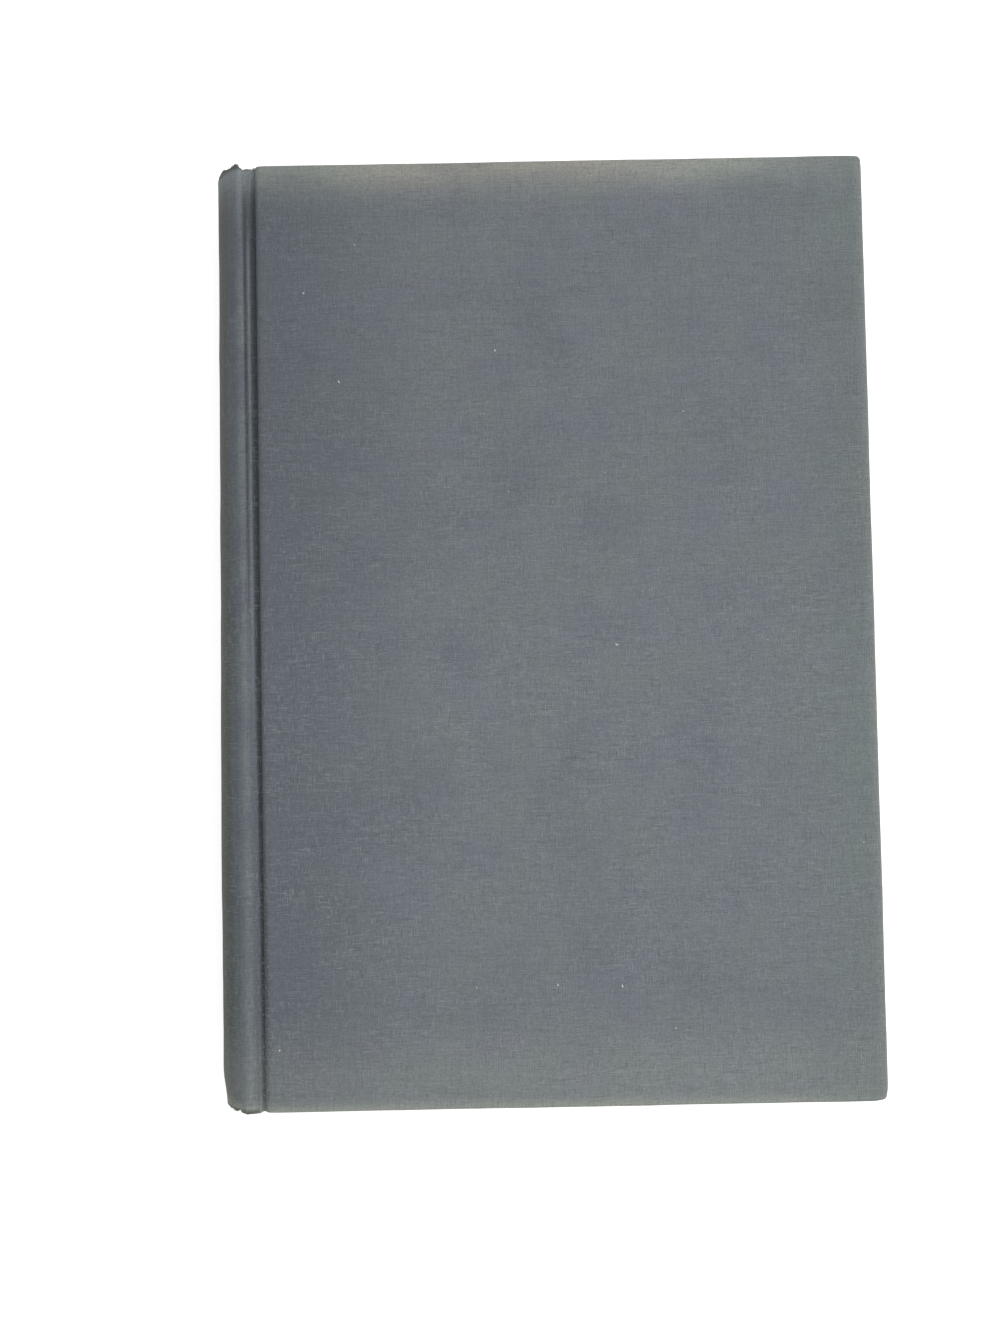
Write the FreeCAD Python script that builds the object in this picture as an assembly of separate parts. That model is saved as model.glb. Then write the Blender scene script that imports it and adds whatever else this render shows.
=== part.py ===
import FreeCAD, Part
import math
import os

# A cased book with cloth over its boards, a rounded spine and a narrow joint groove.
# It lies closed on its back cover: X runs from the spine to the fore-edge, Y from the tail
# to the head, and Z up. The origin is at the middle of the whole book, at its base.
# All sizes are in millimetres.

# Pages and endpapers
page_width = 152.4
page_height = 228.6
pages_thickness = 21.5
endpaper_thickness = 0.18

# Boards and the cloth over them; a square is how far a cover stands past the pages
fore_square = 3.2
end_square = 3.2
board_thickness = 2.5
board_corner_radius = 0.8
board_edge_round = 0.4
cloth_thickness = 0.4
turn_in = 15.0

# Joint groove and rounded spine
joint_width = 4.05
leaf_fold = 0.85
round_depth = 7.8
crest_drop = 0.9
crest_radius = 1.5
groove_radius = 0.6
cap_wear_radius = 2.0

# Linings of the spine
mull_thickness = 0.25
mull_flap_width = 25.0
lining_thickness = 0.25
inlay_thickness = 0.4
band_radius = 0.9
band_tail = 9.0

# Hinge lines and clearances
hinge_offset = 0.25
axis_rise = 0.1
hinge_gap = 0.1
cover_gap = 0.1
joint_gap = 0.1
hollow_gap = 0.25
band_gap = 0.02
lining_margin = 0.6
lining_inset = 2.3
mull_margin = 2.5
mull_band_gap = 5.3

# Levels of the front cover, from the pages outwards; the back cover mirrors them
cover_stack = (
    endpaper_thickness + cover_gap + endpaper_thickness
    + cloth_thickness + board_thickness + cloth_thickness
)
book_thickness = pages_thickness + 2 * cover_stack
middle_z = book_thickness / 2
pages_top = middle_z + pages_thickness / 2
leaf_top = pages_top + endpaper_thickness
pastedown_in = leaf_top + cover_gap
turn_in_face = pastedown_in + endpaper_thickness
board_in = turn_in_face + cloth_thickness
board_out = board_in + board_thickness
cover_out = board_out + cloth_thickness

# Places across the book; the outer leaf folds just inside the crest of the shoulder
cover_width = leaf_fold + page_width + fore_square - joint_width
cover_height = page_height + 2 * end_square
whole_width = cover_width + joint_width + round_depth
fore_x = whole_width / 2
spine_x = -whole_width / 2
cover_x = fore_x - cover_width
board_x = cover_x + cloth_thickness
crest_x = cover_x - joint_width
leaf_fore_x = fore_x - fore_square
hinge_x = cover_x - hinge_offset
strip_end_x = hinge_x - hinge_gap

# Ends along the book
cover_end = cover_height / 2
page_end = page_height / 2
board_end = cover_end - cloth_thickness
window_end = cover_end - turn_in
lining_end = page_end - lining_inset
mull_end = page_end - band_tail - mull_band_gap
flap_end = window_end - mull_margin
window_fore_x = fore_x - turn_in
mull_fore_x = board_x + mull_flap_width

# The cloth's line round the spine: the round about round_centre, the crest of the shoulder
# about crest_centre, a straight flank, and the groove about groove_centre
crest_z = cover_out - crest_drop
crest_centre = (crest_x, crest_z - crest_radius)
crest_rise = crest_centre[1] - middle_z
round_radius = (round_depth**2 + crest_rise**2 - crest_radius**2) / (2 * (round_depth - crest_radius))
round_centre = (spine_x + round_radius, middle_z)
round_angle = math.degrees(math.atan2(crest_rise, round_centre[0] - crest_x))
groove_z = leaf_top + mull_thickness + joint_gap + cloth_thickness
groove_centre = (strip_end_x, groove_z + groove_radius)
flank_run = groove_centre[0] - crest_centre[0]
flank_rise = groove_centre[1] - crest_centre[1]
flank_angle = math.degrees(
    math.asin((groove_radius + crest_radius) / math.hypot(flank_run, flank_rise))
    - math.atan2(flank_rise, flank_run)
)

# How far each layer of the spine lies under the cloth's outer face
inlay_depth = cloth_thickness
spine_turn_depth = inlay_depth + inlay_thickness
hollow_depth = spine_turn_depth + cloth_thickness
lining_depth = hollow_depth + hollow_gap
mull_depth = lining_depth + lining_thickness
pages_depth = mull_depth + mull_thickness


def point(x, z):
    return FreeCAD.Vector(x, 0, z)


def towards(centre, radius, degrees):
    """The point at radius from centre, in the direction degrees above +X."""
    turn = math.radians(degrees)
    return point(centre[0] + radius * math.cos(turn), centre[1] + radius * math.sin(turn))


def line(start, end):
    return Part.LineSegment(start, end).toShape()


def arc(centre, radius, start, end):
    """An arc from one direction to another, in degrees above +X."""
    ends = [towards(centre, radius, degrees) for degrees in (start, (start + end) / 2, end)]
    return Part.Arc(*ends).toShape()


def prism(edges, low_y, high_y):
    """A closed outline across the book, carried along it."""
    face = Part.Face(Part.Wire(edges))
    face.translate(FreeCAD.Vector(0, low_y, 0))
    return face.extrude(FreeCAD.Vector(0, high_y - low_y, 0))


def block(low, high):
    """A box between two corners."""
    size = [b - a for a, b in zip(low, high)]
    return Part.makeBox(*size, FreeCAD.Vector(*low))


def mirrored(shape):
    """The same piece at the back cover's side."""
    return shape.mirror(point(0, middle_z), point(0, 1))


def round_strip(outer_depth, inner_depth, angle, low_y, high_y):
    """A strip that follows the round of the spine, between two depths under its cloth."""
    outer, inner = round_radius - outer_depth, round_radius - inner_depth
    low, high = 180 + angle, 180 - angle
    edges = [
        arc(round_centre, outer, low, high),
        line(towards(round_centre, outer, high), towards(round_centre, inner, high)),
        arc(round_centre, inner, high, low),
        line(towards(round_centre, inner, low), towards(round_centre, outer, low)),
    ]
    return prism(edges, low_y, high_y)


def case_line(depth):
    """The edges of the cloth's line from mid spine to the hinge line, depth under its face."""
    top = 180 - round_angle
    flank = 90 - flank_angle
    foot = 270 - flank_angle
    crest_end = towards(crest_centre, crest_radius - depth, flank)
    groove_start = towards(groove_centre, groove_radius + depth, foot)
    return [
        arc(round_centre, round_radius - depth, 180, top),
        arc(crest_centre, crest_radius - depth, top, flank),
        line(crest_end, groove_start),
        arc(groove_centre, groove_radius + depth, foot, 270),
    ]


def worn_plan():
    """The book's plan with the spine's corners worn round, as a tall block."""
    plan = block((spine_x, -cover_end, 0), (fore_x, cover_end, book_thickness))
    corners = [e for e in plan.Edges if e.BoundBox.ZLength > 1 and e.BoundBox.XMax < 0]
    return plan.makeFillet(cap_wear_radius, corners)


def spine_cloth():
    """The cloth round the spine and both joints, turned in at the head and the tail."""
    outer, inner = case_line(0), case_line(cloth_thickness)
    starts = [towards(round_centre, round_radius - depth, 180) for depth in (0, cloth_thickness)]
    ends = [point(strip_end_x, groove_z), point(strip_end_x, groove_z - cloth_thickness)]
    edges = [line(*starts), *inner, line(*reversed(ends)), *reversed(outer)]
    half = prism(Part.__sortEdges__(edges), -cover_end, cover_end)
    cloth = half.fuse(mirrored(half))
    fold = round_strip(0, hollow_depth, round_angle, board_end, cover_end)
    tuck = round_strip(spine_turn_depth, hollow_depth, round_angle, window_end, cover_end)
    head_turn = fold.fuse(tuck)
    tail_turn = head_turn.mirror(FreeCAD.Vector(0, 0, 0), FreeCAD.Vector(0, 1, 0))
    cloth = cloth.fuse([head_turn, tail_turn])
    return cloth.removeSplitter().common(worn_plan())


def spine_inlay():
    """The card strip glued inside the spine's cloth, which keeps the hollow back's form."""
    margin = math.degrees(lining_margin / round_radius)
    strip = round_strip(inlay_depth, spine_turn_depth, round_angle - margin, -board_end, board_end)
    return strip.common(worn_plan())


def pages_line_ends():
    """The tip of the pages' shoulder under the crest, and its foot at the hinge line."""
    tip = towards(round_centre, round_radius - pages_depth, 180 - round_angle)
    return tip, point(strip_end_x, pages_top)


def text_block():
    """All the pages as one solid: a rounded back, two shoulders and a hollow fore-edge."""
    tip, foot = pages_line_ends()
    fore = point(leaf_fore_x, pages_top)
    back = round_radius - pages_depth
    hollow = point(spine_x + pages_depth + page_width, middle_z)
    low_tip, low_foot, low_fore = [
        point(p.x, 2 * middle_z - p.z) for p in (tip, foot, fore)
    ]
    edges = [
        arc(round_centre, back, 180 + round_angle, 180 - round_angle),
        line(tip, foot),
        line(foot, fore),
        Part.Arc(fore, hollow, low_fore).toShape(),
        line(low_fore, low_foot),
        line(low_foot, low_tip),
    ]
    return prism(edges, -page_end, page_end)


def flyleaf():
    """The free leaf of the front endpaper, on the pages."""
    return block((hinge_x, -page_end, pages_top), (leaf_fore_x, page_end, leaf_top))


def spine_mull():
    """The gauze glued round the back of the pages and over both shoulders."""
    tip, foot = pages_line_ends()
    outward = towards((0, 0), 1, 180 - round_angle)
    slope = (foot - tip).normalize()
    upward = point(-slope.z, slope.x)
    mitre = (outward + upward) * (mull_thickness / (1 + outward.dot(upward)))
    back, face = round_radius - pages_depth, round_radius - mull_depth
    rise = mull_thickness / upward.z
    edges = [
        arc(round_centre, back, 180, 180 - round_angle),
        line(tip, foot),
        line(foot, foot + point(0, rise)),
        line(foot + point(0, rise), tip + mitre),
        line(tip + mitre, tip + outward * mull_thickness),
        arc(round_centre, face, 180 - round_angle, 180),
        line(towards(round_centre, face, 180), towards(round_centre, back, 180)),
    ]
    half = prism(edges, -mull_end, mull_end)
    return half.fuse(mirrored(half)).removeSplitter()


def spine_lining():
    """The paper glued over the mull and the tails of both bands."""
    margin = math.degrees(lining_margin / round_radius)
    return round_strip(lining_depth, mull_depth, round_angle - margin, -lining_end, lining_end)


def head_band():
    """A corded band at the head: a bead over the pages' end and a tail down their back."""
    margin = math.degrees(2 * lining_margin / round_radius)
    angle = round_angle - margin
    bead_y = page_end + band_radius + band_gap
    bead_r = round_radius - mull_depth - band_radius
    start = towards(round_centre, bead_r, 180 - angle)
    start.y = bead_y
    heading = towards((0, 0), 1, 90 - angle)
    disc = Part.Face(Part.Wire(Part.makeCircle(band_radius, start, heading)))
    centre = FreeCAD.Vector(round_centre[0], bead_y, round_centre[1])
    bead = disc.revolve(centre, FreeCAD.Vector(0, -1, 0), 2 * angle)
    tail = round_strip(mull_depth, pages_depth, angle, page_end - band_tail, bead_y)
    return bead.fuse(tail).removeSplitter()


def board():
    """The front board, with its edges just softened."""
    plate = block((board_x, -board_end, board_in), (fore_x - cloth_thickness, board_end, board_out))
    corners = [e for e in plate.Edges if e.BoundBox.ZLength > 1 and e.BoundBox.XMin > 0]
    plate = plate.makeFillet(board_corner_radius, corners)
    rim = [e for e in plate.Edges if e.BoundBox.ZMin > board_out - board_edge_round]
    return plate.makeFillet(board_edge_round, rim)


def window():
    """The part of the board's inner face that the turned-in cloth leaves bare."""
    return block((board_x, -window_end, turn_in_face), (window_fore_x, window_end, board_in))


def cover_cloth(plate):
    """The cloth over a board: its face, its edges, three turn-ins and the foot in the groove."""
    whole = block((cover_x, -cover_end, turn_in_face), (fore_x, cover_end, cover_out))
    corners = [e for e in whole.Edges if e.BoundBox.ZLength > 1 and e.BoundBox.XMin > 0]
    whole = whole.makeFillet(board_corner_radius + cloth_thickness, corners)
    edge_radius = board_edge_round + cloth_thickness
    rim = [e for e in whole.Edges if e.BoundBox.ZMin > cover_out - edge_radius]
    whole = whole.makeFillet(edge_radius, rim)
    foot = block((hinge_x, -cover_end, groove_z - cloth_thickness), (cover_x, cover_end, groove_z))
    return whole.cut(plate).cut(window()).fuse(foot).removeSplitter()


def mull_flap():
    """The mull's flange, glued on the inside of the board."""
    return block((board_x, -flap_end, board_in - mull_thickness), (mull_fore_x, flap_end, board_in))


def pastedown(flap):
    """The pasted leaf of the front endpaper, stepped over the turn-ins and the mull's flange."""
    plate = block((board_x, -page_end, pastedown_in), (leaf_fore_x, page_end, turn_in_face))
    sheet = plate.fuse(window()).cut(flap)
    inset_end = window_end - endpaper_thickness
    step_x = mull_fore_x + endpaper_thickness
    over_board = block(
        (step_x, -inset_end, pastedown_in),
        (window_fore_x - endpaper_thickness, inset_end, board_in - endpaper_thickness),
    )
    over_flap = block(
        (board_x, -inset_end, pastedown_in),
        (step_x, inset_end, board_in - mull_thickness - endpaper_thickness),
    )
    return sheet.cut([over_board, over_flap]).removeSplitter()


def front_cover():
    """The pieces of the front cover by name."""
    plate, flap = board(), mull_flap()
    return {
        "board": plate,
        "cloth": cover_cloth(plate),
        "mull_flap": flap,
        "pastedown": pastedown(flap),
    }


def book_block():
    """The pieces that stay together when a cover opens, by name."""
    band, leaf = head_band(), flyleaf()
    return {
        "text_block": text_block(),
        "front_flyleaf": leaf,
        "back_flyleaf": mirrored(leaf),
        "spine_mull": spine_mull(),
        "spine_lining": spine_lining(),
        "head_band": band,
        "tail_band": band.mirror(FreeCAD.Vector(0, 0, 0), FreeCAD.Vector(0, 1, 0)),
        "spine_inlay": spine_inlay(),
        "spine_cloth": spine_cloth(),
    }


def main():
    os.makedirs("parts", exist_ok=True)
    pieces = book_block()
    for name, shape in front_cover().items():
        pieces["front_" + name] = shape
        pieces["back_" + name] = mirrored(shape)
    for name, shape in pieces.items():
        shape.exportStep("parts/" + name + ".step")
        print(name, shape.isValid(), len(shape.Solids), round(shape.Volume, 1))
    print("book", round(whole_width, 2), round(cover_height, 2), round(book_thickness, 2))
    print("hinge x", round(hinge_x, 3), "z", round(cover_out + axis_rise, 3), round(-axis_rise, 3))


main()
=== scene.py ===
"""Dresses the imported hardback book: cloth, endpapers, pages, bands, floor, light and camera.

Everything is in the book's own frame: X from the spine to the fore-edge, Y from the tail to the
head, Z up through the front cover, with the origin under the middle of the book. Shapes are
worked out in millimetres and become metres when a mesh is made.
"""

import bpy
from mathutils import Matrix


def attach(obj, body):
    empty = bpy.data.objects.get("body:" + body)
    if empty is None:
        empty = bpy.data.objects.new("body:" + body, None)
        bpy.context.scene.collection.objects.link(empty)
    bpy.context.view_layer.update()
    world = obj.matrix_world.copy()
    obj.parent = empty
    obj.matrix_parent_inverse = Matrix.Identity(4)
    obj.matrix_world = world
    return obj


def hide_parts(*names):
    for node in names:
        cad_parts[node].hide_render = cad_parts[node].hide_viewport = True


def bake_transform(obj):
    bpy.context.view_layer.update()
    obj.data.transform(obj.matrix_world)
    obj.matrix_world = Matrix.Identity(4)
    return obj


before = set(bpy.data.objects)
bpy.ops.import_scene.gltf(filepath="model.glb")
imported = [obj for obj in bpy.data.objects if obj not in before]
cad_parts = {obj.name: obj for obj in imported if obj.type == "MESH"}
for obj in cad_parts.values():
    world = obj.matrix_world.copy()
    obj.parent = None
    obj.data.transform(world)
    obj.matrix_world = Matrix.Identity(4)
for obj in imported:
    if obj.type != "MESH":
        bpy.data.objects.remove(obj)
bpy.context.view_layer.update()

import logging
import math
from dataclasses import dataclass
from enum import Enum

import bpy
import numpy as np
from bpy.types import Material, NodeSocket, Object

log = logging.getLogger("hardback_book")
MM = 0.001
HAIR = 1e-6
Shape = tuple[np.ndarray, np.ndarray]
"""Points in millimetres, and triangles as rows of three point numbers."""
Surfaces = tuple[np.ndarray, np.ndarray]
"""Two grids or lines of the same size: a face and its lining, or places and their normals."""


class Side(Enum):
    """Which cover a piece belongs to; the back mirrors the front through the middle height."""

    FRONT = "front"
    BACK = "back"


class Weave(Enum):
    """Where a bookcloth is seen, which sets how it has faded and where shade is painted on it."""

    COVER = "cover"
    SPINE = "spine"


@dataclass(frozen=True)
class BookSizes:
    """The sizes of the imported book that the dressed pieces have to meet, in millimetres."""

    fore_x: float = 82.125
    cover_x: float = -70.275
    hinge_x: float = -70.525
    spine_foot_x: float = -70.625
    leaf_fore_x: float = 78.925
    cover_end: float = 117.5
    board_end: float = 117.1
    page_end: float = 114.3
    window_end: float = 102.5
    thickness: float = 29.02
    middle_z: float = 14.51
    pages_top: float = 25.26
    leaf_top: float = 25.44
    pastedown_in: float = 25.54
    turn_in_face: float = 25.72
    cover_out: float = 29.02
    groove_z: float = 26.19
    cloth: float = 0.4
    round_x: float = -65.836
    round_radius: float = 16.289
    round_angle: float = 54.97
    crest_x: float = -74.325
    crest_z: float = 26.62
    crest_radius: float = 1.5
    flank_angle: float = 31.9


BOOK = BookSizes()


def srgb(red: float, green: float, blue: float) -> tuple[float, float, float, float]:
    """A colour as a screen shows it, 0 to 255, as the linear colour that a shader takes.

    Args:
        red: The red, 0 to 255.
        green: The green, 0 to 255.
        blue: The blue, 0 to 255.

    Returns:
        Linear red, green and blue, and an alpha of one.
    """
    share = np.array([red, green, blue]) / 255
    linear = np.where(share <= 0.04045, share / 12.92, ((share + 0.055) / 1.055) ** 2.4)
    return (*linear.tolist(), 1.0)


def smooth_step(value: np.ndarray, start: float, end: float) -> np.ndarray:
    """Nought before start, one after end, and t squared times (3 - 2t) between them."""
    t = np.clip((np.asarray(value, float) - start) / (end - start), 0, 1)
    return t * t * (3 - 2 * t)


def step_at(value: np.ndarray, middle: float) -> np.ndarray:
    """A smooth step from nought to one that is 0.9 mm long, about its middle."""
    return smooth_step(value, middle - 0.45, middle + 0.45)


def bump_at(value: np.ndarray, centre: float, width: float) -> np.ndarray:
    """A bell of height one: e to the power of minus ((value - centre) / width) squared."""
    return np.exp(-(((np.asarray(value, float) - centre) / width) ** 2))


def wander(value: np.ndarray, seed: int, longest: float, waves: int = 5) -> np.ndarray:
    """A smooth random line about nought: sines of falling length and height, with drawn phases.

    Args:
        value: Where the line is read, in millimetres.
        seed: The draw that fixes the phases.
        longest: The longest wave, in millimetres.
        waves: How many sines are added, each 1.9 times shorter than the last.

    Returns:
        The line's height at each value, from about -1 to 1.
    """
    draw = np.random.default_rng(seed)
    order = np.arange(waves)
    phase = draw.uniform(0, 2 * np.pi, waves)
    length = longest / 1.9**order * draw.uniform(0.85, 1.15, waves)
    height = 0.62**order
    angle = 2 * np.pi * np.asarray(value, float)[..., None] / length + phase
    return (np.sin(angle) * height).sum(-1) / height.sum()


def groove_rise(y: np.ndarray) -> np.ndarray:
    """How far the joint's floor stands above its packed place: most at the head and the tail."""
    down = BOOK.cover_end - np.asarray(y, float)
    return 0.50 + 0.45 * (1 - smooth_step(down, 1.0, 7.0)) + 0.30 * smooth_step(down, 196.0, 231.0)


def grid_triangles(rows: int, columns: int) -> np.ndarray:
    """Two triangles for each cell of a grid whose points are numbered row by row.

    Args:
        rows: How many rows of points.
        columns: How many points in a row.

    Returns:
        The triangles, as rows of three point numbers.
    """
    index = np.arange(rows * columns).reshape(rows, columns)
    a, b, c, d = index[:-1, :-1], index[:-1, 1:], index[1:, 1:], index[1:, :-1]
    return np.concatenate([np.stack([a, b, c], -1), np.stack([a, c, d], -1)]).reshape(-1, 3)


def joined(grids: list[np.ndarray]) -> Shape:
    """Grids of points as one list of points and its triangles.

    Args:
        grids: Grids of points, of any sizes.

    Returns:
        All the points and all the triangles.
    """
    points, triangles, start = [], [], 0
    for grid in grids:
        points.append(grid.reshape(-1, grid.shape[-1]))
        triangles.append(grid_triangles(*grid.shape[:2]) + start)
        start += len(points[-1])
    return np.concatenate(points), np.concatenate(triangles)


def welded(points: np.ndarray, triangles: np.ndarray) -> Shape:
    """Points within a tenth of a micrometre become one, and triangles that vanish are dropped.

    Args:
        points: The points, in millimetres.
        triangles: The triangles, as rows of three numbers.

    Returns:
        The points that are kept, and the triangles between them.
    """
    key = np.round(points[:, :3], 4)
    _, first, place = np.unique(key, axis=0, return_index=True, return_inverse=True)
    triangles = place.reshape(-1)[triangles]
    a, b, c = triangles.T
    triangles = triangles[(a != b) & (b != c) & (c != a)]
    order = np.sort(triangles, 1)
    single = np.unique(order, axis=0, return_index=True)[1]
    return points[first], triangles[np.sort(single)]


def rims(triangles: np.ndarray) -> np.ndarray:
    """The edges that only one triangle uses, each in the direction in which it is used.

    Args:
        triangles: The triangles, as rows of three numbers.

    Returns:
        The edges, as rows of two point numbers.
    """
    edges = np.concatenate([triangles[:, [0, 1]], triangles[:, [1, 2]], triangles[:, [2, 0]]])
    edge_of = np.unique(np.sort(edges, 1), axis=0, return_inverse=True)[1].reshape(-1)
    return edges[np.bincount(edge_of)[edge_of] == 1]


def outward(points: np.ndarray, triangles: np.ndarray) -> np.ndarray:
    """The triangles of a closed shape turned so that its volume is positive.

    Args:
        points: The points, in millimetres.
        triangles: The triangles, as rows of three numbers.

    Returns:
        The same triangles, or all of them turned round.
    """
    a, b, c = (points[triangles[:, k]] for k in range(3))
    volume = np.einsum("ij,ij->i", a, np.cross(b, c)).sum()
    return triangles if volume >= 0 else triangles[:, ::-1]


def thickened(*parts: Surfaces) -> Shape:
    """A closed sheet between a face and its lining, which are grids of the same sizes.

    Args:
        parts: The sheet's face and lining, as one or more pairs of grids that meet at shared
            points.

    Returns:
        The points, and the triangles of both surfaces and of the rims that join them.
    """
    points, triangles = welded(*joined([np.concatenate(part, -1) for part in parts]))
    edges, count = rims(triangles), len(points)
    a, b = edges.T
    walls = np.concatenate(
        [np.stack([b, a, a + count], -1), np.stack([b, a + count, b + count], -1)]
    )
    triangles = np.concatenate([triangles, triangles[:, ::-1] + count, walls])
    points = np.concatenate([points[:, :3], points[:, 3:]])
    return points, outward(points, triangles)


def on_side(side: Side, shape: Shape) -> Shape:
    """A front cover's shape, or its mirror image for the back cover.

    At the back each height is taken from the whole thickness, and the triangles are turned
    round, so that they still face outwards.

    Args:
        side: The cover that the shape is for.
        shape: The front cover's points and triangles.

    Returns:
        The points and triangles at that side.
    """
    if side is Side.FRONT:
        return shape
    points, triangles = shape
    heights = BOOK.thickness - points[:, 2:]
    return np.concatenate([points[:, :2], heights], -1), triangles[:, ::-1]


def tube(line: np.ndarray, radius: np.ndarray, sides: int = 6) -> Shape:
    """A closed tube along a line: circles square to the line, and a point at each end.

    Args:
        line: The points of the line.
        radius: The radius at each point, or one for all.
        sides: How many points each circle has.

    Returns:
        The points and the triangles.
    """
    along = np.gradient(line, axis=0)
    along /= np.linalg.norm(along, axis=1)[:, None]
    across = np.cross(along, np.where(np.abs(along[:, 2:]) < 0.9, [[0, 0, 1.0]], [[1.0, 0, 0]]))
    across /= np.linalg.norm(across, axis=1)[:, None]
    third = np.cross(along, across)
    angle = np.linspace(0, 2 * np.pi, sides + 1)
    size = np.broadcast_to(np.asarray(radius, float), len(line))[:, None, None]
    ring = across[:, None] * np.cos(angle)[:, None] + third[:, None] * np.sin(angle)[:, None]
    ring = line[:, None] + ring * size
    first = np.repeat(line[:1] - along[:1] * size[0], sides + 1, 0)[None]
    last = np.repeat(line[-1:] + along[-1:] * size[-1], sides + 1, 0)[None]
    points, triangles = welded(*joined([np.concatenate([first, ring, last])]))
    return points, outward(points, triangles)


def gathered(shapes: list[Shape]) -> Shape:
    """Several closed shapes as one list of points and triangles.

    Args:
        shapes: The closed shapes.

    Returns:
        All the points and all the triangles.
    """
    points, triangles, start = [], [], 0
    for own_points, own_triangles in shapes:
        points.append(own_points)
        triangles.append(own_triangles + start)
        start += len(own_points)
    return np.concatenate(points), np.concatenate(triangles)


def piece(
    name: str,
    shape: Shape,
    material: Material,
    body: str | None = None,
    stands_for: tuple[str, ...] = (),
    crease: float = 50.0,
) -> Object:
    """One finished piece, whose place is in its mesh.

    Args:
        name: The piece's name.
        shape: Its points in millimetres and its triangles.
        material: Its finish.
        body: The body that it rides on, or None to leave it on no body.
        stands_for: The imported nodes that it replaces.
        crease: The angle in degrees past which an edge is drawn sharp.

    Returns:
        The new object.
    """
    points, triangles = shape
    mesh = bpy.data.meshes.new(name)
    mesh.from_pydata((points * MM).tolist(), [], triangles.tolist())
    mesh.validate()
    mesh.polygons.foreach_set("use_smooth", np.ones(len(mesh.polygons), bool))
    mesh.set_sharp_from_angle(angle=math.radians(crease))
    mesh.materials.append(material)
    made = bpy.data.objects.new(name, mesh)
    bpy.context.scene.collection.objects.link(made)
    if body:
        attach(made, body)
    if stands_for:
        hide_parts(*stands_for)
    log.info("%s: %d triangles", name, len(mesh.polygons))
    return made


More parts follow.
